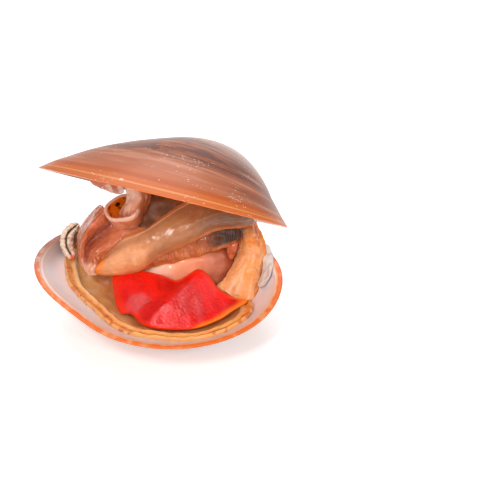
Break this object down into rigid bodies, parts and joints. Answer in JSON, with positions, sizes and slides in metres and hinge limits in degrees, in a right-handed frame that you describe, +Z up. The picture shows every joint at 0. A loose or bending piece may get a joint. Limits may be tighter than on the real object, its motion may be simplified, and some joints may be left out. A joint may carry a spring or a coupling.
{
  "type": "chocolate clam in shell",
  "caption": "Opened clam: the lower shell valve lies as a bowl, the upper one gapes above it, with mantle, siphons, gill, red foot and muscle between them",
  "frame": {"origin": "Middle of the small worn flat under the lower valve, on the surface that the clam rests on", "axes": "+Z up; +X to the front end of the clam, the viewer's right; +Y to the back, where the hinge is"},
  "size_m": [0.0901, 0.0764, 0.0711],
  "materials": {
    "shell": "brownish pink shell, satin outside and pearly inside",
    "ligament": "dark brown elastic band, dull",
    "mantle": "tan orange wet flesh",
    "fold": "tan wet flesh with brown patches",
    "gill": "orange brown wet lamellae",
    "foot": "bright red wet flesh",
    "viscera": "salmon pink wet flesh",
    "siphon_tip": "pale beige wrinkled skin",
    "siphon": "pinkish brown wet flesh, orange inside the mouth",
    "strand": "pale pink wet muscle",
    "flap": "salmon torn flesh",
    "film": "whitish translucent film",
    "inner_mantle": "dark brown wet flesh",
    "adductor": "tan orange translucent muscle",
    "palp": "brownish orange flesh"
  },
  "bodies": {
    "root": {"lower_valve": "shell", "upper_valve": "shell", "ligament": "ligament", "mantle_lower": "mantle", "mantle_upper": "mantle", "mantle_fold": "fold", "gill": "gill", "foot": "foot", "visceral_mass": "viscera", "siphon_tip": "siphon_tip", "siphon_mouth": "siphon", "siphon_body": "siphon", "muscle_strand": "strand", "torn_flap": "flap", "mantle_film": "film", "inner_mantle": "inner_mantle", "anterior_adductor": "adductor", "labial_palp": "palp"}
  },
  "joints": []
}
